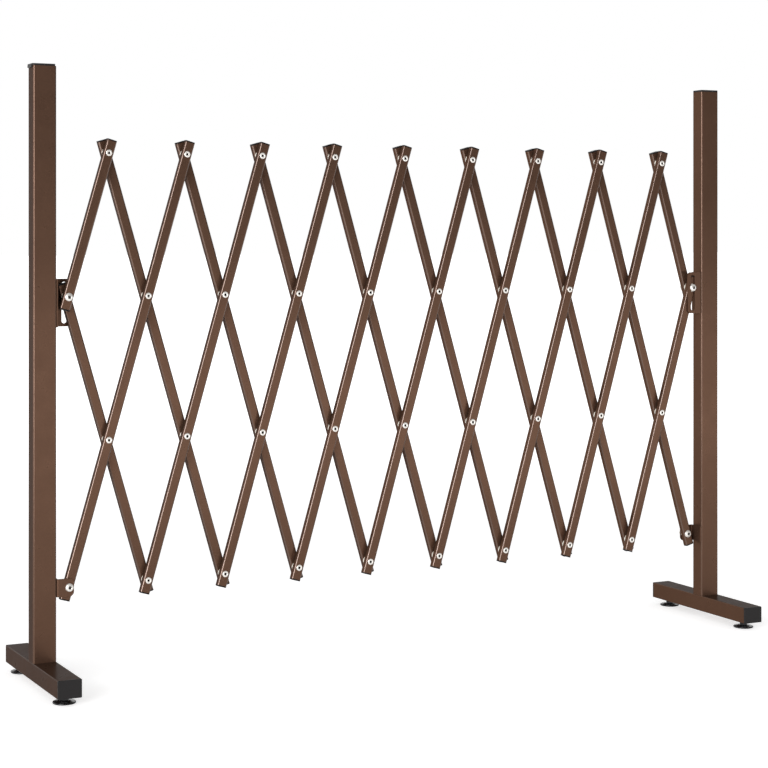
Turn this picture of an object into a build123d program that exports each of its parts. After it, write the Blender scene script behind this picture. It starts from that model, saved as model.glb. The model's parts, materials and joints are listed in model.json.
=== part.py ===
from build123d import *
import os
from math import cos, radians, sin

# Expandable garden fence: two free-standing posts joined by a riveted scissor lattice.
# X runs along the fence, Y from its front to its back, Z up. The floor is Z = 0.
# The rest pose is the half-open fence; everything is in millimetres.

os.makedirs("parts", exist_ok=True)

# Lattice: every bar leans by the same angle, and its pivots are one pitch apart
rivet_pitch = 251.5
lean_angle = 16.15
diamonds = 9
row_count = 4
lower_pivot_height = 164.5

# Lattice bar, a flat tube
bar_width = 17.5
bar_depth = 12
bar_wall = 1
bar_corner = 3
bar_overhang = 21
plug_flange = 2
plug_depth = 10

# Gaps between pieces
layer_gap = 2
running_clearance = 0.08
side_play = 0.1
seat_gap = 0.1
plug_clearance = 0.15

# Rounding of turned rims and of the caps' edges, as a share of their height
rim_round = 0.6
cap_edge_round = 0.3

# Tubular rivets and the washers between the two layers of bars
rivet_diameter = 6
rivet_bore = 4
rivet_flange_diameter = 11
rivet_flange = 1.2
washer_diameter = 17

# Bolts that hold the lattice to the brackets
bolt_diameter = 8
bolt_head_diameter = 14
bolt_head_height = 4.2
bolt_socket = 5
bolt_socket_depth = 2.6
nut_width = 13
nut_height = 5
nut_thread_end = 1.5
spacer_thickness = 0.5
spacer_diameter = 15

# Posts
fence_height = 1035
post_width = 40
post_depth = 30
post_wall = 1.5
post_corner = 3.5
pivot_to_post = 21.5

# Foot bars, which lie across the fence under the posts
foot_length = 300
foot_width = 40
foot_tall = 30
foot_wall = 1.5
foot_corner = 1.5
foot_clearance = 13

# Plastic caps of the foot bars and the posts
end_cap_plate = 2.5
end_cap_depth = 12
top_cap_plate = 3.5
top_cap_depth = 15
cap_wall = 2
least_corner = 0.5
left_cap_shift = 4
cap_lip_drop = 3
cap_lip_thickness = 2.2

# Brackets, folded from sheet
bracket_sheet = 2.5
bracket_flange = 30
bracket_bend = 1.5
pivot_bracket_height = 30
pivot_arm_reach = 8
pivot_arm_round = 8
slot_rise = 20.5
slot_fall = 40.5
slot_width = 9
slot_margin = 5
slot_arm_reach = 11.5
slot_arm_round = 6

# Countersunk screws that hold the brackets to the posts
screw_diameter = 4.2
screw_head_diameter = 8.2
screw_length = 12
screw_inset = 9
screw_recess = 2.6
screw_recess_depth = 1.4
sink_angle = 90

# Plate inside the bottom of each post, and the bolts that pull it down on the foot bar
base_plate = 6
base_bolt_diameter = 6
base_bolt_spacing = 14
base_bolt_head_diameter = 10.5
base_bolt_head_height = 3.3
base_bolt_grip = 2

# Levelling feet and the inserts that they screw into
leveller_inset = 28
pad_diameter = 38
pad_rim = 3.2
pad_crown = 1.6
pad_neck_diameter = 20
hub_width = 13
hub_height = 3.7
stem_diameter = 8
stem_length = 24
insert_diameter = 11
insert_flange_diameter = 15
insert_flange = 1.2
insert_depth = 14

# Worked out from the sizes above
leveller_offset = foot_length / 2 - leveller_inset
lean = radians(lean_angle)
half_pitch = rivet_pitch * sin(lean)
row_height = rivet_pitch * cos(lean)
column_count = 2 * diamonds
post_face = column_count / 2 * half_pitch + pivot_to_post
post_x = post_face + post_width / 2
foot_top = foot_clearance + foot_tall
post_top = fence_height - top_cap_plate
layer_middle = (bar_depth + layer_gap) / 2
layer_face = layer_gap / 2 + bar_depth
arm_near = layer_face + spacer_thickness + side_play
arm_far = arm_near + bracket_sheet
slot_middle = lower_pivot_height + 2 * row_height + (slot_rise - slot_fall) / 2
slot_bracket_height = slot_rise + slot_fall + slot_width + 2 * slot_margin


def save(piece, name):
    """Label a finished piece and write it."""
    piece.part.label = name
    export_step(piece.part, f"parts/{name}.step")


def spot(column, row):
    """X and Z of a lattice pivot; columns count from the left pivot, rows from the lowest one."""
    return (column - column_count / 2) * half_pitch, lower_pivot_height + row * row_height


def bar_pivots(start, way):
    """Columns and rows of one bar's pivots, for a bar that rises from column start."""
    pivots = [(start + row, row) for row in range(row_count) if 0 <= start + row <= column_count]
    if way < 0:
        pivots = [(column_count - column, row) for column, row in pivots]
    return pivots


def is_end(column):
    """True where a bolt holds the lattice to a post, in place of a rivet."""
    return column in (0, column_count)


def level(y):
    """Plane across the fence at depth y, with X to the right and Z up."""
    return Plane.XZ.offset(-y)


def inner_corner(corner, wall):
    """Corner radius inside a wall that has the given corner radius outside."""
    return max(corner - wall, least_corner)


def rounded_tube(width, depth, corner, wall):
    """Section of a rounded tube, in the sketch that is open."""
    bore_corner = inner_corner(corner, wall)
    RectangleRounded(width, depth, corner)
    RectangleRounded(width - 2 * wall, depth - 2 * wall, bore_corner, mode=Mode.SUBTRACT)


def make_bar(name, pivots, layer, way):
    """One lattice bar: the tube with its pivot holes, and the plug in each end."""
    middle = layer * layer_middle
    up = Vector(way * sin(lean), 0, cos(lean))
    across = Vector(cos(lean), 0, -way * sin(lean))
    first_x, first_z = spot(*pivots[0])
    tube_length = (len(pivots) - 1) * rivet_pitch + 2 * bar_overhang
    low_end = Vector(first_x, middle, first_z) - up * bar_overhang
    bore_width = bar_width - 2 * bar_wall - 2 * plug_clearance
    bore_depth = bar_depth - 2 * bar_wall - 2 * plug_clearance
    with BuildPart() as bar:
        with BuildSketch(Plane(origin=low_end, x_dir=across, z_dir=up)):
            rounded_tube(bar_width, bar_depth, bar_corner, bar_wall)
        extrude(amount=tube_length)
        with BuildSketch(level(middle)):
            for column, row in pivots:
                shank = bolt_diameter if is_end(column) else rivet_diameter
                with Locations(spot(column, row)):
                    Circle(shank / 2 + running_clearance)
        extrude(amount=bar_depth, both=True, mode=Mode.SUBTRACT)
        for end, outward in ((low_end, up * -1), (low_end + up * tube_length, up)):
            seat = Plane(origin=end + outward * seat_gap, x_dir=across, z_dir=outward)
            with BuildSketch(seat):
                RectangleRounded(bar_width, bar_depth, bar_corner)
            extrude(amount=plug_flange)
            with BuildSketch(seat):
                RectangleRounded(bore_width, bore_depth, inner_corner(bar_corner, bar_wall))
            extrude(amount=-plug_depth)
    save(bar, name)


def make_rivets(name, pivots):
    """The tubular rivets that ride in one front bar, each with its washer between the layers."""
    places = [spot(*pivot) for pivot in pivots if not is_end(pivot[0])]
    back_face = layer_face + side_play
    with BuildPart() as rivets:
        with BuildSketch(level(-layer_face)):
            with Locations(*places):
                Circle(rivet_flange_diameter / 2)
        extrude(amount=rivet_flange)
        with BuildSketch(level(back_face + rivet_flange)):
            with Locations(*places):
                Circle(rivet_flange_diameter / 2)
        extrude(amount=rivet_flange)
        rims = rivets.edges().filter_by(GeomType.CIRCLE).group_by(Axis.Y)
        fillet(rims[0] + rims[-1], rivet_flange * rim_round)
        with BuildSketch(level(back_face)):
            with Locations(*places):
                Circle(rivet_diameter / 2)
        extrude(amount=back_face + layer_face)
        with BuildSketch(level(back_face + 2 * rivet_flange)):
            with Locations(*places):
                Circle(rivet_bore / 2)
        extrude(amount=back_face + layer_face + 4 * rivet_flange, mode=Mode.SUBTRACT)
        with BuildSketch(level(layer_gap / 2 - side_play)):
            with Locations(*places):
                Circle(washer_diameter / 2)
                Circle(rivet_diameter / 2 + running_clearance, mode=Mode.SUBTRACT)
        extrude(amount=layer_gap - side_play)
    save(rivets, name)


def make_pivot_bolt(name, column, row, head_face, nut_face, rings):
    """A bolt through a bracket and its bars, with its nut, and the washers at the given depths."""
    place = spot(column, row)
    shank_length = nut_face - head_face + nut_height + nut_thread_end
    with BuildPart() as bolt:
        with BuildSketch(level(head_face)):
            with Locations(place):
                Circle(bolt_head_diameter / 2)
        extrude(amount=bolt_head_height)
        rim = bolt.edges().filter_by(GeomType.CIRCLE).sort_by(Axis.Y)[0]
        fillet(rim, bolt_head_height * rim_round)
        with BuildSketch(level(head_face)):
            with Locations(place):
                Circle(bolt_diameter / 2)
        extrude(amount=-shank_length)
        with BuildSketch(level(head_face - bolt_head_height)):
            with Locations(place):
                RegularPolygon(bolt_socket / 2, 6, major_radius=False)
        extrude(amount=-bolt_socket_depth, mode=Mode.SUBTRACT)
        with BuildSketch(level(nut_face + nut_height)):
            with Locations(place):
                RegularPolygon(nut_width / 2, 6, major_radius=False)
                Circle(bolt_diameter / 2 + running_clearance, mode=Mode.SUBTRACT)
        extrude(amount=nut_height)
        for near, far, diameter in rings:
            with BuildSketch(level(far)):
                with Locations(place):
                    Circle(diameter / 2)
                    Circle(bolt_diameter / 2 + running_clearance, mode=Mode.SUBTRACT)
            extrude(amount=far - near)
    save(bolt, name)


def make_bracket(name, side, layer, bottom, height, slotted):
    """A folded bracket: a flange against the post and an arm that carries a lattice pivot."""
    inward = -side
    outer = layer * arm_far
    inner = layer * arm_near
    face = side * post_face
    flange_edge = layer * (arm_far - bracket_flange)
    arm_end = face + inward * (pivot_to_post + (slot_arm_reach if slotted else pivot_arm_reach))
    bend_outside = bracket_bend + bracket_sheet
    outline = [
        (face, flange_edge),
        (face + inward * bracket_sheet, flange_edge),
        (face + inward * bracket_sheet, inner),
        (arm_end, inner),
        (arm_end, outer),
        (face, outer),
    ]
    pivot_x = side * (post_face - pivot_to_post)
    with BuildPart() as bracket:
        with BuildSketch(Plane.XY.offset(bottom)):
            with BuildLine():
                FilletPolyline(*outline, radius=[0, 0, bracket_bend, 0, 0, bend_outside], close=True)
            make_face()
        extrude(amount=height)
        ends = bracket.edges().filter_by(Axis.Y).group_by(Axis.X)
        fillet(ends[-1] if inward > 0 else ends[0], slot_arm_round if slotted else pivot_arm_round)
        with BuildSketch(level(inner)):
            if slotted:
                with Locations((pivot_x, slot_middle)):
                    SlotCenterToCenter(slot_rise + slot_fall, slot_width, rotation=90)
            else:
                with Locations((pivot_x, lower_pivot_height)):
                    Circle(bolt_diameter / 2 + running_clearance)
        extrude(amount=2 * bracket_sheet, both=True, mode=Mode.SUBTRACT)
        for place in screw_places(side, bottom, height):
            with Locations(place):
                CounterSinkHole(
                    screw_diameter / 2 + running_clearance,
                    screw_head_diameter / 2 + running_clearance,
                    counter_sink_angle=sink_angle,
                )
    save(bracket, name)


def screw_places(side, bottom, height):
    """Planes on a bracket's flange where its two screws go in, facing away from the post."""
    x = side * (post_face - bracket_sheet)
    facing = (-side, 0, 0)
    heights = (bottom + screw_inset, bottom + height - screw_inset)
    return [Plane(origin=(x, 0, z), z_dir=facing) for z in heights]


def make_screws(name, side):
    """The four countersunk screws that hold one post's two brackets."""
    head_depth = (screw_head_diameter - screw_diameter) / 2
    with BuildPart() as screws:
        for bottom, height in bracket_spans:
            for place in screw_places(side, bottom, height):
                top = (Align.CENTER, Align.CENTER, Align.MAX)
                with Locations(place):
                    Cone(screw_diameter / 2, screw_head_diameter / 2, head_depth, align=top)
                    Cylinder(screw_diameter / 2, screw_length, align=top)
                    Cylinder(screw_recess / 2, screw_recess_depth, align=top, mode=Mode.SUBTRACT)
    save(screws, name)


def make_post(name, side):
    """One upright tube, with the screw holes for its brackets."""
    with BuildPart() as post:
        with BuildSketch(Plane.XY.offset(foot_top)):
            with Locations((side * post_x, 0)):
                rounded_tube(post_width, post_depth, post_corner, post_wall)
        extrude(amount=post_top - foot_top)
        for bottom, height in bracket_spans:
            for place in screw_places(side, bottom, height):
                with Locations(place):
                    Hole(screw_diameter / 2 + running_clearance, bracket_sheet + 2 * post_wall)
    save(post, name)


def make_foot_bar(name, side):
    """The tube under one post, with holes for the levelling inserts and the base bolts."""
    with BuildPart() as foot:
        with BuildSketch(Plane.XZ.offset(-foot_length / 2)):
            with Locations((side * post_x, foot_clearance + foot_tall / 2)):
                rounded_tube(foot_width, foot_tall, foot_corner, foot_wall)
        extrude(amount=foot_length)
        with BuildSketch(Plane.XY.offset(foot_clearance)):
            with Locations((side * post_x, -leveller_offset), (side * post_x, leveller_offset)):
                Circle(insert_diameter / 2 + running_clearance)
        extrude(amount=2 * foot_wall, mode=Mode.SUBTRACT)
        with BuildSketch(Plane.XY.offset(foot_clearance)):
            with Locations(*base_bolt_places(side)):
                Circle(base_bolt_diameter / 2 + running_clearance)
        extrude(amount=foot_tall, mode=Mode.SUBTRACT)
    save(foot, name)


def base_bolt_places(side):
    """X and Y of the two bolts that hold one post to its foot bar."""
    middle = side * post_x
    return [(middle - base_bolt_spacing / 2, 0), (middle + base_bolt_spacing / 2, 0)]


def make_base_plate(name, side):
    """The threaded plate that is welded inside the bottom of one post."""
    inside_width = post_width - 2 * post_wall - 2 * plug_clearance
    inside_depth = post_depth - 2 * post_wall - 2 * plug_clearance
    with BuildPart() as plate:
        with BuildSketch(Plane.XY.offset(foot_top)):
            with Locations((side * post_x, 0)):
                RectangleRounded(inside_width, inside_depth, inner_corner(post_corner, post_wall))
            with Locations(*base_bolt_places(side)):
                Circle(base_bolt_diameter / 2 + running_clearance, mode=Mode.SUBTRACT)
        extrude(amount=base_plate)
    save(plate, name)


def make_base_bolts(name, side):
    """The two bolts that go up through one foot bar into the post's base plate."""
    places = base_bolt_places(side)
    with BuildPart() as bolts:
        with BuildSketch(Plane.XY.offset(foot_clearance)):
            with Locations(*places):
                Circle(base_bolt_head_diameter / 2)
        extrude(amount=-base_bolt_head_height)
        lowest = bolts.edges().filter_by(GeomType.CIRCLE).group_by(Axis.Z)[0]
        fillet(lowest, base_bolt_head_height * rim_round)
        with BuildSketch(Plane.XY.offset(foot_clearance)):
            with Locations(*places):
                Circle(base_bolt_diameter / 2)
        extrude(amount=foot_tall + base_plate + base_bolt_grip)
    save(bolts, name)


def make_top_cap(name, side, shift):
    """The plastic cap of one post: a plate, a hollow plug in the tube and a lip outside it."""
    middle = side * post_x
    plate_middle = middle + side * shift
    inside_width = post_width - 2 * post_wall - 2 * plug_clearance
    inside_depth = post_depth - 2 * post_wall - 2 * plug_clearance
    outer_face = side * (post_x + post_width / 2)
    with BuildPart() as cap:
        with BuildSketch(Plane.XY.offset(post_top)):
            with Locations((plate_middle, 0)):
                RectangleRounded(post_width, post_depth, post_corner)
        extrude(amount=top_cap_plate)
        fillet(cap.edges().group_by(Axis.Z)[-1], top_cap_plate * cap_edge_round)
        with BuildSketch(Plane.XY.offset(post_top)):
            with Locations((middle, 0)):
                rounded_tube(inside_width, inside_depth, inner_corner(post_corner, post_wall), cap_wall)
        extrude(amount=-top_cap_depth)
        if shift > 0:
            lip_middle = outer_face + side * (seat_gap + cap_lip_thickness / 2)
            with BuildSketch(Plane.XY.offset(post_top + top_cap_plate / 2)):
                with Locations((lip_middle, 0)):
                    Rectangle(cap_lip_thickness, post_depth - 2 * post_corner)
            extrude(amount=-top_cap_plate / 2 - cap_lip_drop)
    save(cap, name)


def make_end_caps(name, side):
    """The plastic caps in the two ends of one foot bar."""
    inside_width = foot_width - 2 * foot_wall - 2 * plug_clearance
    inside_tall = foot_tall - 2 * foot_wall - 2 * plug_clearance
    place = (side * post_x, foot_clearance + foot_tall / 2)
    with BuildPart() as caps:
        for end in (-1, 1):
            seat = end * (foot_length / 2 + seat_gap)
            with BuildSketch(level(seat)):
                with Locations(place):
                    RectangleRounded(foot_width, foot_tall, foot_corner)
            extrude(amount=-end * end_cap_plate)
            rim = caps.edges().group_by(Axis.Y)[-1 if end > 0 else 0]
            fillet(rim, end_cap_plate * cap_edge_round)
            with BuildSketch(level(seat)):
                with Locations(place):
                    rounded_tube(inside_width, inside_tall, inner_corner(foot_corner, foot_wall), cap_wall)
            extrude(amount=end * end_cap_depth)
    save(caps, name)


def make_inserts(name, side):
    """The threaded inserts in the underside of one foot bar."""
    places = [(side * post_x, -leveller_offset), (side * post_x, leveller_offset)]
    with BuildPart() as inserts:
        with BuildSketch(Plane.XY.offset(foot_clearance)):
            with Locations(*places):
                Circle(insert_flange_diameter / 2)
        extrude(amount=-insert_flange)
        with BuildSketch(Plane.XY.offset(foot_clearance)):
            with Locations(*places):
                Circle(insert_diameter / 2)
        extrude(amount=insert_depth)
        with BuildSketch(Plane.XY.offset(foot_clearance - insert_flange)):
            with Locations(*places):
                Circle(stem_diameter / 2 + running_clearance)
        extrude(amount=insert_flange + insert_depth, mode=Mode.SUBTRACT)
    save(inserts, name)


def make_leveller(name, side, end):
    """A levelling foot: a round pad with a six-sided hub and a threaded stem."""
    middle = (side * post_x, end * leveller_offset)
    neck_height = pad_rim + pad_crown
    with BuildPart() as leveller:
        with BuildSketch():
            with Locations(middle):
                Circle(pad_diameter / 2)
        extrude(amount=pad_rim)
        rims = leveller.edges().group_by(Axis.Z)
        fillet(rims[-1], pad_rim * rim_round)
        with Locations((*middle, pad_rim)):
            Cone(
                pad_diameter / 2 - pad_rim * rim_round,
                pad_neck_diameter / 2,
                pad_crown,
                align=(Align.CENTER, Align.CENTER, Align.MIN),
            )
        with BuildSketch(Plane.XY.offset(neck_height)):
            with Locations(middle):
                RegularPolygon(hub_width / 2, 6, major_radius=False)
        extrude(amount=hub_height)
        with BuildSketch(Plane.XY.offset(neck_height + hub_height)):
            with Locations(middle):
                Circle(stem_diameter / 2)
        extrude(amount=stem_length)
    save(leveller, name)


# Both ends of the fence; the brackets are turned half round from one end to the other
pivot_bracket_bottom = lower_pivot_height - pivot_bracket_height / 2
slot_bracket_bottom = slot_middle - slot_bracket_height / 2
bracket_spans = (
    (pivot_bracket_bottom, pivot_bracket_height),
    (slot_bracket_bottom, slot_bracket_height),
)
for side, where in ((-1, "left"), (1, "right")):
    make_post(f"{where}_post", side)
    make_base_plate(f"{where}_post_base_plate", side)
    make_foot_bar(f"{where}_foot_bar", side)
    make_base_bolts(f"{where}_base_bolts", side)
    make_top_cap(f"{where}_top_cap", side, left_cap_shift if side < 0 else 0)
    make_end_caps(f"{where}_foot_end_caps", side)
    make_inserts(f"{where}_leveller_inserts", side)
    make_leveller(f"{where}_front_leveller", side, -1)
    make_leveller(f"{where}_back_leveller", side, 1)
    make_bracket(f"{where}_slot_bracket", side, -side, slot_bracket_bottom, slot_bracket_height, True)
    make_bracket(f"{where}_pivot_bracket", side, side, pivot_bracket_bottom, pivot_bracket_height, False)
    make_screws(f"{where}_bracket_screws", side)

# Lattice bars, numbered from the left in each layer
for number in range(diamonds + 1):
    front_pivots = bar_pivots(2 * number - 2, 1)
    back_pivots = bar_pivots(column_count - 2 * number - 2, -1)
    make_bar(f"front_bar_{number}", front_pivots, -1, 1)
    make_bar(f"back_bar_{number}", back_pivots, 1, -1)
    make_rivets(f"rivets_{number}", front_pivots)

# Bolts of the four post pivots, and their washers from front to back
between_layers = (-layer_gap / 2 + side_play, layer_gap / 2, washer_diameter)
front_spacer = (side_play - arm_near, -layer_face, spacer_diameter)
make_pivot_bolt(
    "left_lower_bolt", 0, 0, -arm_far, side_play - layer_gap / 2,
    [(-arm_near, -layer_face - side_play, spacer_diameter)],
)
make_pivot_bolt(
    "left_upper_bolt", 0, 2, -layer_face - side_play, arm_far + side_play,
    [between_layers, (layer_face, arm_near - side_play, spacer_diameter)],
)
make_pivot_bolt(
    "right_upper_bolt", column_count, 2, -arm_far - side_play, layer_face + side_play,
    [front_spacer, (-layer_gap / 2, layer_gap / 2 - side_play, washer_diameter)],
)
make_pivot_bolt(
    "right_lower_bolt", column_count, 0, layer_gap / 2 - side_play, arm_far,
    [(layer_face + side_play, arm_near, spacer_diameter)],
)
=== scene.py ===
import json
import math

import bmesh
import bpy
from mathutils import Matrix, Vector


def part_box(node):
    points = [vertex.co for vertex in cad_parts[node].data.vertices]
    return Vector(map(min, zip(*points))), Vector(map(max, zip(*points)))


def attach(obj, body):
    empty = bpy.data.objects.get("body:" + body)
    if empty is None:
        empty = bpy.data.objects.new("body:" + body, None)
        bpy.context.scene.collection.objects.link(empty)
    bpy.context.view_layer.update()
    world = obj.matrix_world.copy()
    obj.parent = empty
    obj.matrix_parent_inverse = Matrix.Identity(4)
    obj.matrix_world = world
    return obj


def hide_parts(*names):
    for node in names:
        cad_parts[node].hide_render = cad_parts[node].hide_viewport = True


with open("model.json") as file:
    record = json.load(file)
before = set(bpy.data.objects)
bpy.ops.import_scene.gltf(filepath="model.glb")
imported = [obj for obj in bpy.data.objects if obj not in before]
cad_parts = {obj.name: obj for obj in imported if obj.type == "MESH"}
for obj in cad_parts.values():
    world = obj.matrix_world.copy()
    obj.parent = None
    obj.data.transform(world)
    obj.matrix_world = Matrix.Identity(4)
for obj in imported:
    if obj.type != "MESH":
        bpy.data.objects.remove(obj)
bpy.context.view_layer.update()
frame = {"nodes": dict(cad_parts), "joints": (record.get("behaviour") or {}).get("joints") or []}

# The lattice's pivots, read from the joints: the main one is the lowest left pivot
pivot_of = {joint["name"]: Vector(joint["pos_m"]) for joint in frame["joints"] if "pos_m" in joint}
low_left = pivot_of["fold"]
third_up = pivot_of["back_2_pivot"]
half_pitch = (third_up.x - low_left.x) / 3
row_height = (third_up.z - low_left.z) / 3
column_count = round(-2 * low_left.x / half_pitch)
bars_per_layer = column_count // 2 + 1
lean = math.atan2(half_pitch, row_height)
rivet_pitch = math.hypot(half_pitch, row_height)

# Lattice bars, in metres
BAR_WIDTH = 0.0175
BAR_CORNER = 0.003
BAR_OVERHANG = 0.021
BAR_RIM = 0.0004
LEAST_RIM_CORNER = 0.0002
PLUG_FLANGE = 0.002
PLUG_GAP = 0.0001
HOLE_PLAY = 0.00015
HOLE_SIDES = 32
DRILL_REACH = 0.001
WELD_REACH = 1e-7
SEAM_REACH = 1e-8
BORE_REACH = 1e-6

# Rivets and washers
RIVET_RADIUS = 0.003
RIVET_BORE = 0.002
RIVET_FLANGE = 0.0055
WASHER_RADIUS = 0.0085
WASHER_EDGE = 0.00025
RING_SIDES = 40
TURNED_SIDES = 48

# A rolled flange from its bore to its rim, as shares of its width and height
FLANGE_SHAPE = (
    (0, 0.30), (0.10, 0.72), (0.28, 0.97), (0.48, 1.0),
    (0.70, 0.90), (0.88, 0.66), (0.98, 0.32), (1, 0),
)

# Pivot bolts; the socket's tip, the hexagon's corners and the nut's crown are shares of their flats
BOLT_RADIUS = 0.004
HEAD_RADIUS = 0.007
HEAD_HEIGHT = 0.0042
HEAD_SKIRT = 0.0009
HEAD_EDGE = 0.0003
DOME_ANGLES = range(25, 90, 13)
SOCKET_FLAT = 0.0025
SOCKET_DEPTH = 0.0026
SOCKET_CHAMFER = 0.0006
SOCKET_TIP = 0.2
HEX_REACH = 1.16
NUT_FLAT = 0.0065
NUT_HEIGHT = 0.005
NUT_CROWN = 0.93
NUT_BORE_EDGE = 0.0004
THREAD_END = 0.0015
THREAD_CHAMFER = 0.0007
THREAD_PLAY = 0.0001
BOLT_SLACK = 0.0001
SPACER_RADIUS = 0.0075
THIN_SPACER = 0.0005
BRACKET_SHEET = 0.0025

# Posts, foot bars and their caps
POST_CORNER = 0.0035
FOOT_CORNER = 0.0015
TUBE_WALL = 0.0015
LEAST_CORNER = 0.0005
CAP_GAP = 0.0001
LIP_THICKNESS = 0.0022
LIP_DROP = 0.003
LIP_RISE = 0.0015
LIP_CORNER = 0.0007
LIP_EDGE = 0.0006
CAP_EDGE = 0.0007
END_CAP_EDGE = 0.0006
PLUG_PLAY = 0.0003
PLUG_EDGE = 0.0004
PLUG_SEAT = 0.0005
END_CAP_PLUG = 0.012
TOP_CAP_PLUG = 0.015

# Levelling feet
PAD_RIM = 0.0032
PAD_CROWN = 0.0016
PAD_NECK = 0.010
HUB_FLAT = 0.0065
HUB_HEIGHT = 0.0037
STEM_RADIUS = 0.004
THREAD_PITCH = 0.00125
THREAD_DEPTH = 0.0006
THREAD_SIDES = 24
THREAD_LAYERS = 8
PAD_SIDES = 60
PAD_HOLLOW = 0.0004
HUB_EDGE = 0.0005
HUB_STEP = 0.0002
ROUNDING_ANGLES = range(0, 91, 15)

# Shares of the pad's radius, of its rim, of the way up its crown, and of the hub's and stem's radius
PAD_SOCKET = 0.45
PAD_HOLLOW_REACH = 0.8
PAD_HOLLOW_RIM = 0.83
PAD_SOFTNESS = 0.45
CROWN_STEPS = (0.3, 0.6, 0.85)
HUB_COLLAR = 1.08
HUB_CROWN = 0.95
STEM_ROOT = 0.8

# Floor and light, in metres from the fence and shares of white
FLOOR_REACH = 60
FLOOR_COLOUR = (0.8, 0.8, 0.8, 1)
FLOOR_ROUGH = 0.9
FLOOR_SPECULAR = 0.1
WHITE = (1, 1, 1, 1)
FLOOR_GLOW = 0.56
FLOOR_SHINE = 0.65
GLOW_START = 1.2
GLOW_END = 4.0
WORLD_LIGHT = 0.5
ROOM_SHINE = 0.12
BACKDROP_START = 0.2
BACKDROP_END = 0.7
FENCE_MIDDLE = (0, 0, 0.55)

# The camera, fitted to the corners and rivets that the photograph shows
CAMERA_PLACE = (-1.599, -3.132, 0.754)
CAMERA_TURN = math.radians(26.51)
FOCAL_PIXELS = 1936
HORIZON_PIXEL = 233.2
PICTURE_PIXELS = 768
SENSOR_WIDTH = 36


def spot(column, row):
    """X and Z of a lattice pivot; columns count from the left, rows from the lowest."""
    return low_left.x + column * half_pitch, low_left.z + row * row_height


def bar_pivots(start, way):
    """Columns and rows of one bar's pivots, for a bar that rises from column start."""
    pivots = [(start + row, row) for row in range(4) if 0 <= start + row <= column_count]
    if way < 0:
        pivots = [(column_count - column, row) for column, row in pivots]
    return pivots


def is_end(column):
    return column in (0, column_count)


# Meshes

UP = Vector((0, 0, 1))
RIGHT = Vector((1, 0, 0))
BACK = Vector((0, 1, 0))


def finished(name, mesh_data, material, body, sharp=40, inner=None):
    """A piece from a bmesh, with smooth shading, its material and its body."""
    mesh = bpy.data.meshes.new(name)
    bmesh.ops.recalc_face_normals(mesh_data, faces=mesh_data.faces)
    mesh_data.to_mesh(mesh)
    mesh_data.free()
    piece = bpy.data.objects.new(name, mesh)
    bpy.context.scene.collection.objects.link(piece)
    mesh.materials.append(material)
    if inner:
        mesh.materials.append(inner)
    mesh.polygons.foreach_set("use_smooth", [True] * len(mesh.polygons))
    mesh.set_sharp_from_angle(angle=math.radians(sharp))
    weighted = piece.modifiers.new("even_normals", "WEIGHTED_NORMAL")
    weighted.keep_sharp = True
    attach(piece, body)
    return piece


def rounded_outline(width, depth, radius, steps=7):
    """Points round a rectangle with round corners, as (across, deep) pairs."""
    points = []
    for corner, (sx, sy) in enumerate(((1, 1), (-1, 1), (-1, -1), (1, -1))):
        centre = (sx * (width / 2 - radius), sy * (depth / 2 - radius))
        for step in range(steps + 1):
            angle = math.radians(90 * (corner + step / steps))
            points.append((centre[0] + radius * math.cos(angle), centre[1] + radius * math.sin(angle)))
    return points


def rim_steps(rim, count=3):
    """Distance from the end and inset of each ring of a rounded rim, from the end inwards."""
    angles = [math.radians(90 * (1 - step / count)) for step in range(count + 1)]
    return [(rim * (1 - math.sin(a)), rim * (1 - math.cos(a))) for a in angles]


def add_loft(bm, rings, close_ends=True):
    """Skins a row of rings of points; the first and last ring are closed with a face."""
    loops = [[bm.verts.new(point) for point in ring] for ring in rings]
    for low, high in zip(loops, loops[1:]):
        for i in range(len(low)):
            j = (i + 1) % len(low)
            bm.faces.new((low[i], low[j], high[j], high[i]))
    if close_ends:
        bm.faces.new(list(reversed(loops[0])))
        bm.faces.new(loops[-1])
    return loops


def add_rod(bm, start, along, across, length, width, depth, corner, rim):
    """A rounded rectangular rod from start, with a small round rim at both ends."""
    deep = along.cross(across)
    steps = rim_steps(rim)
    stations = [(d, inset) for d, inset in steps] + [(length - d, inset) for d, inset in reversed(steps)]
    rings = []
    for distance, inset in stations:
        outline = rounded_outline(width - 2 * inset, depth - 2 * inset, max(corner - inset, LEAST_RIM_CORNER))
        rings.append([start + along * distance + across * a + deep * b for a, b in outline])
    add_loft(bm, rings)


def add_tube(bm, start, along, across, length, width, depth, corner, wall):
    """A hollow rounded tube, open at both ends."""
    deep = along.cross(across)
    inner_corner = max(corner - wall, LEAST_CORNER)
    outer = rounded_outline(width, depth, corner)
    inner = rounded_outline(width - 2 * wall, depth - 2 * wall, inner_corner)
    rings = []
    for outline, distance in ((inner, 0), (outer, 0), (outer, length), (inner, length), (inner, 0)):
        rings.append([start + along * distance + across * a + deep * b for a, b in outline])
    add_loft(bm, rings, close_ends=False)
    bmesh.ops.remove_doubles(bm, verts=bm.verts, dist=WELD_REACH)


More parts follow.
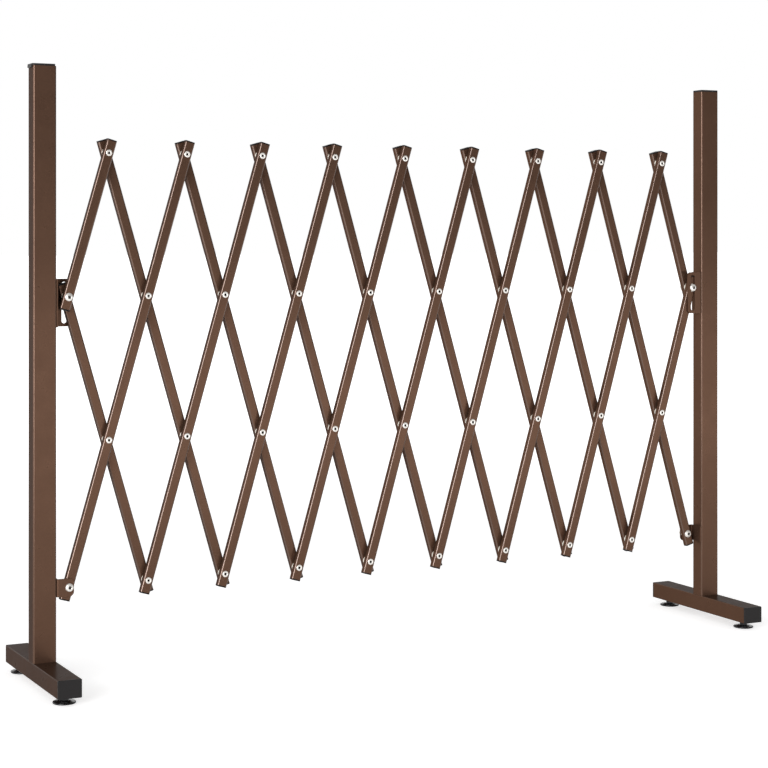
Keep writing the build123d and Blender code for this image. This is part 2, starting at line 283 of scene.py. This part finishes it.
def add_turned(bm, centre, axis, profile, sides=TURNED_SIDES, closed=False, bore=0):
    """A turned form round an axis square to X.

    A profile point is (radius, height) or, six-sided, (flat, height, 6).

    Faces within the radius bore get the piece's second material, which paints the shade inside the bore.
    """
    other = axis.cross(RIGHT)
    rings = []
    for point in profile:
        ring = []
        for i in range(sides):
            angle = 2 * math.pi * i / sides
            radius = point[0]
            if len(point) > 2:
                radius /= math.cos(angle % (math.pi / 3) - math.pi / 6)
            outward = RIGHT * math.cos(angle) + other * math.sin(angle)
            ring.append(centre + axis * point[1] + radius * outward)
        rings.append(ring)
    if closed:
        rings.append(rings[0])
    ready = len(bm.faces)
    add_loft(bm, rings, close_ends=not closed)
    bm.faces.ensure_lookup_table()
    for face in bm.faces[ready:]:
        reach = [(v.co - centre) - axis * (v.co - centre).dot(axis) for v in face.verts]
        if max(r.length for r in reach) <= bore + BORE_REACH:
            face.material_index = 1
    if closed:
        bmesh.ops.remove_doubles(bm, verts=bm.verts, dist=SEAM_REACH)


def drill(bm, holes, low, high):
    """Cuts round holes along Y through a mesh. A hole is (x, z, radius)."""
    body = bpy.data.meshes.new("drilled")
    bmesh.ops.recalc_face_normals(bm, faces=bm.faces)
    bm.to_mesh(body)
    bm.free()
    cutter_data = bmesh.new()
    for x, z, radius in holes:
        profile = [(radius, 0), (radius, high - low)]
        add_turned(cutter_data, Vector((x, low, z)), BACK, profile, sides=HOLE_SIDES)
    bmesh.ops.recalc_face_normals(cutter_data, faces=cutter_data.faces)
    cutter_mesh = bpy.data.meshes.new("cutter")
    cutter_data.to_mesh(cutter_mesh)
    cutter_data.free()
    target = bpy.data.objects.new("drilled", body)
    cutter = bpy.data.objects.new("cutter", cutter_mesh)
    for obj in (target, cutter):
        bpy.context.scene.collection.objects.link(obj)
    cut = target.modifiers.new("cut", "BOOLEAN")
    cut.object = cutter
    cut.operation = "DIFFERENCE"
    cut.solver = "EXACT"
    seen = target.evaluated_get(bpy.context.evaluated_depsgraph_get())
    result = bmesh.new()
    result.from_mesh(seen.to_mesh())
    for obj in (target, cutter):
        bpy.data.objects.remove(obj)
    return result


# Materials

# Blotches a metre of colour, of its flecks and of gloss, and how far the gloss strays
CLOUD_SCALE = 9.0
FLECK_SCALE = 260.0
GLOSS_SCALE = 35.0
GLOSS_SPREAD = 0.12
NOISE_LOW = 0.3
NOISE_HIGH = 0.7
WAVE_GRAINS = 6

# Rounded corners of the coat, where it lies thinner and smoother
CORNER_ROUGH = 0.75
CORNER_SPECULAR = 0.9
CORNER_COAT_IOR = 1.7
CORNER_COAT_ROUGH = 0.22


def node_adder(tree):
    """A function that adds a node to a tree, with its settings, values and links."""

    def add(kind, inputs=(), **settings):
        node = tree.nodes.new(kind)
        for key, value in settings.items():
            setattr(node, key, value)
        for socket, value in dict(inputs).items():
            if isinstance(value, bpy.types.NodeSocket):
                tree.links.new(value, node.inputs[socket])
            else:
                node.inputs[socket].default_value = value
        return node

    return add


def new_material(name):
    """A new material with its shader and a function that adds nodes."""
    material = bpy.data.materials.new(name)
    material.use_nodes = True
    tree = material.node_tree
    return material, tree.nodes["Principled BSDF"], node_adder(tree), tree.links


def ranged(add, value, low, high, start=0.0, end=1.0):
    """A value that runs from start to end, mapped to run from low to high."""
    values = {"Value": value, "From Min": start, "From Max": end, "To Min": low, "To Max": high}
    return add("ShaderNodeMapRange", values).outputs["Result"]


def calculated(add, operation, first, second, **settings):
    """The result of one operation on two numbers or sockets."""
    return add("ShaderNodeMath", {0: first, 1: second}, operation=operation, **settings).outputs[0]


def blotches(add, place, scale, low, high, detail=3.0):
    """A noise that runs from low to high, at so many blotches a metre."""
    noise = add("ShaderNodeTexNoise", {"Vector": place, "Scale": scale, "Detail": detail})
    return ranged(add, noise.outputs["Fac"], low, high, start=NOISE_LOW, end=NOISE_HIGH)


def corner_mask(add, first, second):
    """0 on flat faces and 1 halfway round the rounded corners between two directions."""
    facing = add("ShaderNodeSeparateXYZ", {0: add("ShaderNodeNewGeometry").outputs["Normal"]}).outputs
    squares = [calculated(add, "MULTIPLY", facing[axis], facing[axis]) for axis in (first, second)]
    if first == second:
        squares[1] = calculated(add, "SUBTRACT", 1.0, squares[1])
    product = calculated(add, "MULTIPLY", *squares)
    return calculated(add, "MULTIPLY", product, 4.0, use_clamp=True)


def make_finish(name, colour, rough, colour_spread, grain, grain_depth, metallic=0.0, specular=0.5, edge=1.0,
                corners=None, corner_coat=0.0):
    """A finish with its own blotches of colour and gloss and a fine relief.

    Where corners names two directions, the rounded corners between them are smoother and shinier;
    the same direction twice means the corners between it and all that is square to it.
    """
    material, shader, add, links = new_material(name)
    place = add("ShaderNodeTexCoord").outputs["Object"]
    shade = blotches(add, place, CLOUD_SCALE, 1 - colour_spread, 1 + colour_spread)
    fine_shade = blotches(add, place, FLECK_SCALE, 1 - colour_spread / 2, 1 + colour_spread / 2)
    both = calculated(add, "MULTIPLY", shade, fine_shade)
    tint = add("ShaderNodeVectorMath", {0: colour, "Scale": both}, operation="SCALE").outputs["Vector"]
    links.new(tint, shader.inputs["Base Color"])
    smooth = rough * (1 - GLOSS_SPREAD)
    dull = rough * (1 + GLOSS_SPREAD)
    gloss = blotches(add, place, GLOSS_SCALE, smooth, dull, detail=5.0)
    shader.inputs["Specular IOR Level"].default_value = specular
    if corners:
        mask = corner_mask(add, *corners)
        gloss = calculated(add, "MULTIPLY", gloss, ranged(add, mask, 1.0, CORNER_ROUGH))
        links.new(ranged(add, mask, specular, CORNER_SPECULAR), shader.inputs["Specular IOR Level"])
        links.new(calculated(add, "MULTIPLY", mask, corner_coat), shader.inputs["Coat Weight"])
        shader.inputs["Coat IOR"].default_value = CORNER_COAT_IOR
        shader.inputs["Coat Roughness"].default_value = CORNER_COAT_ROUGH
    links.new(gloss, shader.inputs["Roughness"])
    relief = add("ShaderNodeTexNoise", {"Vector": place, "Scale": grain, "Detail": 2.0})
    wave = add("ShaderNodeTexNoise", {"Vector": place, "Scale": grain / WAVE_GRAINS, "Detail": 1.0})
    height = calculated(add, "ADD", relief.outputs["Fac"], wave.outputs["Fac"])
    bump = add("ShaderNodeBump", {"Height": height, "Strength": 1.0, "Distance": grain_depth})
    links.new(bump.outputs["Normal"], shader.inputs["Normal"])
    shader.inputs["Metallic"].default_value = metallic
    shader.inputs["Specular Tint"].default_value = (edge, edge, edge, 1)
    return material


BROWN = (0.112, 0.061, 0.040)
COAT = {"grain": 700.0, "metallic": 0.6, "specular": 0.04, "edge": 0.08}
post_coat = make_finish("post_coat", BROWN, rough=0.30, colour_spread=0.05, grain_depth=0.000005, **COAT,
                        corners="YY", corner_coat=0.25)
foot_coat = make_finish("foot_coat", BROWN, rough=0.30, colour_spread=0.05, grain_depth=0.000005, **COAT,
                        corners="XZ", corner_coat=0.1)
bar_coat = make_finish("bar_coat", BROWN, rough=0.27, colour_spread=0.05, grain_depth=0.000005, **COAT,
                       corners="YY", corner_coat=0.8)
bracket_coat = make_finish("bracket_coat", BROWN, rough=0.36, colour_spread=0.06,
                           grain_depth=0.000006, **COAT)
cap_plastic = make_finish("cap_plastic", (0.017, 0.0155, 0.0155), rough=0.46, colour_spread=0.06,
                          grain=1500.0, grain_depth=0.00002, specular=0.2)
plug_plastic = make_finish("plug_plastic", (0.009, 0.008, 0.008), rough=0.42, colour_spread=0.06,
                           grain=1500.0, grain_depth=0.00002, specular=0.15)
pad_plastic = make_finish("pad_plastic", (0.006, 0.006, 0.007), rough=0.22, colour_spread=0.05,
                          grain=700.0, grain_depth=0.00001)
nickel = make_finish("nickel", (0.86, 0.83, 0.78), rough=0.34, colour_spread=0.03,
                     grain=1200.0, grain_depth=0.00001, metallic=0.55)
zinc = make_finish("zinc", (0.50, 0.50, 0.52), rough=0.38, colour_spread=0.08,
                   grain=800.0, grain_depth=0.00002, metallic=1.0)
# Steel darkened to paint the shade inside rivet bores and bolt sockets, which the lamps would otherwise light
painted_shade_steel = make_finish("painted_shade_steel", (0.08, 0.072, 0.068), rough=0.5, colour_spread=0.15,
                         grain=1200.0, grain_depth=0.00002, metallic=1.0)
nylon = make_finish("nylon", (0.80, 0.76, 0.67), rough=0.42, colour_spread=0.03,
                    grain=1000.0, grain_depth=0.00001)


# Lattice bars: a drilled tube with a plug in each end

layer_box = {layer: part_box(f"{layer}_bar_1") for layer in ("front", "back")}
front_face = layer_box["front"][0].y
back_face = layer_box["back"][1].y
bar_depth = layer_box["front"][1].y - front_face


def make_bar(layer, number, pivots, way):
    """One bar of a layer; way is 1 where it leans to the right."""
    low, high = layer_box[layer]
    middle = (low.y + high.y) / 2
    along = Vector((way * math.sin(lean), 0, math.cos(lean)))
    across = Vector((math.cos(lean), 0, -way * math.sin(lean)))
    x, z = spot(*pivots[0])
    tube_length = (len(pivots) - 1) * rivet_pitch + 2 * BAR_OVERHANG
    start = Vector((x, middle, z)) - along * BAR_OVERHANG
    body = f"{layer}_{number}"
    bm = bmesh.new()
    add_rod(bm, start, along, across, tube_length, BAR_WIDTH, bar_depth, BAR_CORNER, BAR_RIM)
    holes = []
    for column, row in pivots:
        shank = BOLT_RADIUS if is_end(column) else RIVET_RADIUS
        holes.append((*spot(column, row), shank + HOLE_PLAY))
    bm = drill(bm, holes, low.y - DRILL_REACH, high.y + DRILL_REACH)
    tube = finished(f"{body}_tube", bm, bar_coat, body)
    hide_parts(f"{layer}_bar_{number}")
    for end, outward in (("low", -along), ("high", along)):
        reach = 0 if end == "low" else tube_length
        seat = start + along * reach + outward * PLUG_GAP
        bm = bmesh.new()
        add_rod(bm, seat, outward, across, PLUG_FLANGE, BAR_WIDTH, bar_depth, BAR_CORNER, BAR_RIM)
        finished(f"{body}_plug_{end}", bm, plug_plastic, body)


# Tubular rivets with a rolled flange at both ends, and the washers between the layers

def rolled_flange(face, outward, flange, height, bore):
    """Profile points of a rolled flange, from the bore out to the rim on the bar's face."""
    return [(bore + (flange - bore) * r, face + outward * height * h) for r, h in FLANGE_SHAPE]


def make_rivets(number, pivots):
    """The rivets and washers that ride in one front bar."""
    low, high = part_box(f"rivets_{number}")
    height = front_face - low.y
    washer_front = layer_box["front"][1].y
    washer_back = layer_box["back"][0].y - PLUG_GAP
    back_seat = high.y - height
    rivet_data = bmesh.new()
    washer_data = bmesh.new()
    for column, row in pivots:
        if is_end(column):
            continue
        x, z = spot(column, row)
        centre = Vector((x, 0, z))
        front_roll = rolled_flange(front_face, -1, RIVET_FLANGE, height, RIVET_BORE)
        back_roll = rolled_flange(back_seat, 1, RIVET_FLANGE, height, RIVET_BORE)
        profile = front_roll + [(RIVET_RADIUS, front_face), (RIVET_RADIUS, back_seat)] + back_roll[::-1]
        add_turned(rivet_data, centre, BACK, profile, sides=RING_SIDES, closed=True, bore=RIVET_BORE)
        inner = RIVET_RADIUS + HOLE_PLAY
        profile = [
            (inner, washer_front), (WASHER_RADIUS - WASHER_EDGE, washer_front),
            (WASHER_RADIUS, washer_front + WASHER_EDGE), (WASHER_RADIUS, washer_back - WASHER_EDGE),
            (WASHER_RADIUS - WASHER_EDGE, washer_back), (inner, washer_back),
        ]
        add_turned(washer_data, centre, BACK, profile, sides=RING_SIDES, closed=True)
    body = f"front_{number}"
    # The rivet bores take the darkened steel: painted shade inside each bore
    rivets = finished(f"{body}_rivets", rivet_data, nickel, body, sharp=50, inner=painted_shade_steel)
    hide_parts(f"rivets_{number}")
    finished(f"{body}_washers", washer_data, nylon, body)


for number in range(bars_per_layer):
    leaning_right = bar_pivots(2 * number - 2, 1)
    leaning_left = bar_pivots(column_count - 2 * number - 2, -1)
    make_bar("front", number, leaning_right, 1)
    make_bar("back", number, leaning_left, -1)
    make_rivets(number, leaning_right)


# Pivot bolts: a domed head with a six-sided socket, a nut and thin washers

def make_bolt(node, body, column, row, head_face, nut_face, washers):
    """One bolt, its nut and its washers; a washer is (front, back, radius)."""
    x, z = spot(column, row)
    centre = Vector((x, 0, z))
    top = head_face - HEAD_HEIGHT
    dome = [(math.sin(math.radians(a)), math.cos(math.radians(a))) for a in DOME_ANGLES]
    skirt_top = head_face - HEAD_SKIRT
    floor = top + SOCKET_DEPTH
    profile = [(SOCKET_FLAT * SOCKET_TIP, floor + SOCKET_CHAMFER), (SOCKET_FLAT, floor, 6),
               (SOCKET_FLAT, top + HEAD_EDGE, 6), (SOCKET_FLAT + SOCKET_CHAMFER, top)]
    profile += [(HEAD_RADIUS * r, skirt_top - (HEAD_HEIGHT - HEAD_SKIRT) * h) for r, h in dome]
    profile += [(HEAD_RADIUS, skirt_top), (HEAD_RADIUS, head_face - HEAD_EDGE),
                (HEAD_RADIUS - HEAD_EDGE, head_face), (BOLT_RADIUS, head_face)]
    end = nut_face + NUT_HEIGHT + THREAD_END
    profile += [(BOLT_RADIUS, end - THREAD_CHAMFER), (BOLT_RADIUS - THREAD_CHAMFER, end)]
    bm = bmesh.new()
    add_turned(bm, centre, BACK, profile, bore=SOCKET_FLAT * HEX_REACH)
    inner = BOLT_RADIUS + THREAD_PLAY
    nut_end = nut_face + NUT_HEIGHT
    nut = [
        (inner, nut_face), (NUT_FLAT * NUT_CROWN, nut_face), (NUT_FLAT, nut_face + THREAD_CHAMFER, 6),
        (NUT_FLAT, nut_end - THREAD_CHAMFER, 6), (NUT_FLAT * NUT_CROWN, nut_end),
        (inner + NUT_BORE_EDGE, nut_end), (inner, nut_end - NUT_BORE_EDGE),
    ]
    add_turned(bm, centre, BACK, nut, closed=True)
    # The hexagon socket takes the darkened steel: painted shade inside the socket
    bolt = finished(node, bm, nickel, body, sharp=35, inner=painted_shade_steel)
    bolt.name = f"{node}_screw"
    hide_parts(node)
    bm = bmesh.new()
    for near, far, radius in washers:
        ring = [(inner, near), (radius, near), (radius, far), (inner, far)]
        add_turned(bm, centre, BACK, ring, sides=RING_SIDES, closed=True)
    finished(f"{node}_washers", bm, nylon, body)


layer_back = layer_box["front"][1].y
layer_front = layer_box["back"][0].y
front_arm_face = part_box("left_pivot_bracket")[0].y
back_arm_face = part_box("right_pivot_bracket")[1].y
make_bolt("left_lower_bolt", "left_frame", 0, 0, front_arm_face, layer_back + BOLT_SLACK,
          [(front_arm_face + BRACKET_SHEET, front_face - BOLT_SLACK, SPACER_RADIUS)])
make_bolt("left_upper_bolt", "back_0", 0, 2, front_face - BOLT_SLACK, back_arm_face + BOLT_SLACK,
          [(layer_back + BOLT_SLACK, layer_front, WASHER_RADIUS),
           (back_face, back_face + THIN_SPACER, SPACER_RADIUS)])
make_bolt("right_upper_bolt", f"front_{bars_per_layer - 1}", column_count, 2,
          front_arm_face - BOLT_SLACK, back_face + BOLT_SLACK,
          [(front_face - THIN_SPACER, front_face, SPACER_RADIUS),
           (layer_back, layer_front - BOLT_SLACK, WASHER_RADIUS)])
make_bolt("right_lower_bolt", "right_frame", column_count, 0, layer_front - BOLT_SLACK, back_arm_face,
          [(back_face + BOLT_SLACK, back_arm_face - BRACKET_SHEET, SPACER_RADIUS)])


# Posts, foot bars and their caps

def make_side(where, side):
    """One post with its foot bar and caps."""
    body = f"{where}_frame"
    low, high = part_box(f"{where}_post")
    middle_x = (low.x + high.x) / 2
    width = high.x - low.x
    depth = high.y - low.y
    bottom = Vector((middle_x, 0, low.z))
    bm = bmesh.new()
    add_tube(bm, bottom, UP, RIGHT, high.z - low.z, width, depth, POST_CORNER, TUBE_WALL)
    post = finished(f"{where}_post_tube", bm, post_coat, body)
    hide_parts(f"{where}_post")

    foot_low, foot_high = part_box(f"{where}_foot_bar")
    foot_middle = Vector((middle_x, foot_low.y, (foot_low.z + foot_high.z) / 2))
    foot_tall = foot_high.z - foot_low.z
    foot_wide = foot_high.x - foot_low.x
    foot_long = foot_high.y - foot_low.y
    bm = bmesh.new()
    add_tube(bm, foot_middle, BACK, RIGHT, foot_long, foot_wide, foot_tall, FOOT_CORNER, TUBE_WALL)
    foot = finished(f"{where}_foot_tube", bm, foot_coat, body)
    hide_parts(f"{where}_foot_bar")

    caps_low, caps_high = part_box(f"{where}_foot_end_caps")
    for label, outward, edge in (("front", -1, caps_low.y), ("back", 1, caps_high.y)):
        seat = foot_low.y if outward < 0 else foot_high.y
        plate = abs(edge - seat) - CAP_GAP
        start = Vector((middle_x, seat + outward * CAP_GAP, foot_middle.z))
        bm = bmesh.new()
        add_rod(bm, start, BACK * outward, RIGHT, plate, foot_wide, foot_tall, FOOT_CORNER, END_CAP_EDGE)
        inside = foot_wide - 2 * TUBE_WALL - PLUG_PLAY, foot_tall - 2 * TUBE_WALL - PLUG_PLAY
        add_rod(bm, start, BACK * -outward, RIGHT, END_CAP_PLUG, *inside, LEAST_CORNER, PLUG_EDGE)
        cap = finished(f"{where}_{label}_end_cap", bm, cap_plastic, body)
        if outward < 0:
            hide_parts(f"{where}_foot_end_caps")

    cap_low, cap_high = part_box(f"{where}_top_cap")
    inner_edge = cap_high.x if side < 0 else cap_low.x
    plate_middle = inner_edge + side * width / 2
    bm = bmesh.new()
    start = Vector((plate_middle, 0, high.z))
    add_rod(bm, start, UP, RIGHT, cap_high.z - high.z, width, depth, POST_CORNER, CAP_EDGE)
    if side < 0:
        lip_x = low.x - CAP_GAP - LIP_THICKNESS / 2
        lip_top = Vector((lip_x, 0, high.z - LIP_DROP))
        lip_wide = depth - 2 * POST_CORNER
        add_rod(bm, lip_top, UP, RIGHT, LIP_DROP + LIP_RISE, LIP_THICKNESS, lip_wide, LIP_CORNER, LIP_EDGE)
    plug = width - 2 * TUBE_WALL - PLUG_PLAY, depth - 2 * TUBE_WALL - PLUG_PLAY
    plug_low = Vector((middle_x, 0, high.z - TOP_CAP_PLUG))
    plug_corner = POST_CORNER - TUBE_WALL
    add_rod(bm, plug_low, UP, RIGHT, TOP_CAP_PLUG + PLUG_SEAT, *plug, plug_corner, PLUG_EDGE)
    cap = finished(f"{where}_top_cap_plate", bm, cap_plastic, body)
    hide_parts(f"{where}_top_cap")


make_side("left", -1)
make_side("right", 1)


# Levelling feet: a turned pad with a six-sided hub and a threaded stem

def make_leveller(name):
    """One foot, where its CAD node stands."""
    low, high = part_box(name)
    centre = Vector(((low.x + high.x) / 2, (low.y + high.y) / 2, 0))
    pad = (high.x - low.x) / 2
    neck = PAD_RIM + PAD_CROWN
    soft = PAD_RIM * PAD_SOFTNESS
    curve = [(math.cos(math.radians(a)), math.sin(math.radians(a))) for a in ROUNDING_ANGLES]
    hub_top = neck + HUB_HEIGHT
    profile = [(pad * PAD_SOCKET, PAD_HOLLOW), (pad * PAD_HOLLOW_REACH, PAD_HOLLOW),
               (pad * PAD_HOLLOW_RIM, 0), (pad - soft, 0)]
    profile += [(pad - soft * (1 - c), soft - soft * s) for c, s in reversed(curve[:-1])]
    profile += [(pad - soft * (1 - c), PAD_RIM - soft + soft * s) for c, s in curve]
    slope = pad - soft - PAD_NECK
    profile += [(PAD_NECK + slope * (1 - t), PAD_RIM + PAD_CROWN * t * t) for t in CROWN_STEPS]
    profile += [(PAD_NECK, neck), (HUB_FLAT * HUB_COLLAR, neck + HUB_STEP), (HUB_FLAT, neck + HUB_EDGE, 6),
                (HUB_FLAT, hub_top - HUB_EDGE, 6), (HUB_FLAT * HUB_CROWN, hub_top),
                (STEM_RADIUS * STEM_ROOT, hub_top)]
    bm = bmesh.new()
    add_turned(bm, centre, UP, profile, sides=PAD_SIDES)
    foot = finished(f"{name}_pad", bm, pad_plastic, name, sharp=35)
    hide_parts(name)

    bm = bmesh.new()
    rings = []
    layers = int((high.z - hub_top) / (THREAD_PITCH / THREAD_LAYERS))
    for layer in range(layers + 1):
        z = hub_top + (high.z - hub_top) * layer / layers
        ring = []
        for i in range(THREAD_SIDES):
            turn = (z / THREAD_PITCH - i / THREAD_SIDES) % 1
            radius = STEM_RADIUS - THREAD_DEPTH * abs(2 * turn - 1)
            angle = 2 * math.pi * i / THREAD_SIDES
            ring.append(centre + Vector((radius * math.cos(angle), radius * math.sin(angle), z)))
        rings.append(ring)
    add_loft(bm, rings)
    finished(f"{name}_stem", bm, zinc, name)


for where in ("left", "right"):
    for end in ("front", "back"):
        make_leveller(f"{where}_{end}_leveller")


# CAD nodes that show as they are
for name, node in frame["nodes"].items():
    if name.endswith(("bracket", "bracket_screws")):
        finish = bracket_coat
    elif name.endswith(("base_bolts", "inserts", "base_plate")):
        finish = zinc
    else:
        continue
    node.data.materials.clear()
    node.data.materials.append(finish)


# Floor, camera and light

def background_rays(add):
    """Two values: 1 for rays that are seen straight or through something, and 1 for mirrored rays."""
    ray = add("ShaderNodeLightPath")
    seen = calculated(add, "MAXIMUM", ray.outputs["Is Camera Ray"], ray.outputs["Is Transmission Ray"])
    return seen, ray.outputs["Is Glossy Ray"]


def make_floor():
    """A pale floor that keeps the shadow near the fence and is plain white far off."""
    mesh = bpy.data.meshes.new("floor")
    corners = [(-FLOOR_REACH, -FLOOR_REACH, 0), (FLOOR_REACH, -FLOOR_REACH, 0),
               (FLOOR_REACH, FLOOR_REACH, 0), (-FLOOR_REACH, FLOOR_REACH, 0)]
    mesh.from_pydata(corners, [], [(0, 1, 2, 3)])
    floor = bpy.data.objects.new("floor", mesh)
    bpy.context.scene.collection.objects.link(floor)
    material, shader, add, links = new_material("floor_paint")
    shader.inputs["Base Color"].default_value = FLOOR_COLOUR
    shader.inputs["Roughness"].default_value = FLOOR_ROUGH
    shader.inputs["Specular IOR Level"].default_value = FLOOR_SPECULAR
    place = add("ShaderNodeTexCoord").outputs["Object"]
    away = add("ShaderNodeVectorMath", {0: place}, operation="LENGTH").outputs["Value"]
    glow = ranged(add, away, FLOOR_GLOW, 1.0, start=GLOW_START, end=GLOW_END)
    seen, mirrored = background_rays(add)
    shine = calculated(add, "MULTIPLY", mirrored, FLOOR_SHINE)
    shown = calculated(add, "MULTIPLY", glow, calculated(add, "MAXIMUM", seen, shine))
    shader.inputs["Emission Color"].default_value = WHITE
    links.new(shown, shader.inputs["Emission Strength"])
    mesh.materials.append(material)


def make_world():
    """A world that lights softly, is white where it is seen and mirrors as white behind the fence."""
    world = bpy.data.worlds.new("studio")
    bpy.context.scene.world = world
    world.use_nodes = True
    add = node_adder(world.node_tree)
    seen, mirrored = background_rays(add)
    way = add("ShaderNodeSeparateXYZ", {0: add("ShaderNodeTexCoord").outputs["Generated"]}).outputs["Y"]
    backdrop = ranged(add, way, ROOM_SHINE, 1.0, start=BACKDROP_START, end=BACKDROP_END)
    lit_white = add("ShaderNodeMixRGB", {0: mirrored, 1: (WORLD_LIGHT,) * 3 + (1,), 2: backdrop})
    white = add("ShaderNodeMixRGB", {0: seen, 1: lit_white.outputs[0], 2: WHITE})
    background = world.node_tree.nodes["Background"]
    world.node_tree.links.new(white.outputs[0], background.inputs["Color"])


def add_softbox(name, place, aim, width, height, radiance):
    """A rectangular lamp that faces the point aim; the camera sees past it."""
    lamp = bpy.data.lights.new(name, "AREA")
    lamp.shape = "RECTANGLE"
    lamp.size = width
    lamp.size_y = height
    lamp.energy = radiance * math.pi * width * height
    holder = bpy.data.objects.new(name, lamp)
    bpy.context.scene.collection.objects.link(holder)
    holder.location = place
    holder.rotation_euler = (Vector(aim) - holder.location).to_track_quat("-Z", "Y").to_euler()
    holder.visible_camera = False


make_floor()
make_world()
add_softbox("key", (-10.0, -8.3, 3.6), aim=FENCE_MIDDLE, width=8.5, height=6.4, radiance=8.0)
add_softbox("low_front", (0.9, -1.5, 0.3), aim=(0.5, 0, 0.2), width=2.8, height=0.5, radiance=1.0)
add_softbox("low_left", (-2.6, -1.6, 0.35), aim=(-0.7, 0, 0.1), width=1.0, height=0.5, radiance=6.0)

camera_data = bpy.data.cameras.new("camera")
camera_data.sensor_width = SENSOR_WIDTH
camera_data.lens = SENSOR_WIDTH * FOCAL_PIXELS / PICTURE_PIXELS
camera_data.shift_y = (HORIZON_PIXEL - PICTURE_PIXELS / 2) / PICTURE_PIXELS
camera = bpy.data.objects.new("camera", camera_data)
bpy.context.scene.collection.objects.link(camera)
camera.location = CAMERA_PLACE
camera.rotation_euler = (math.pi / 2, 0, -CAMERA_TURN)
bpy.context.scene.camera = camera
bpy.context.scene.view_settings.view_transform = "Standard"
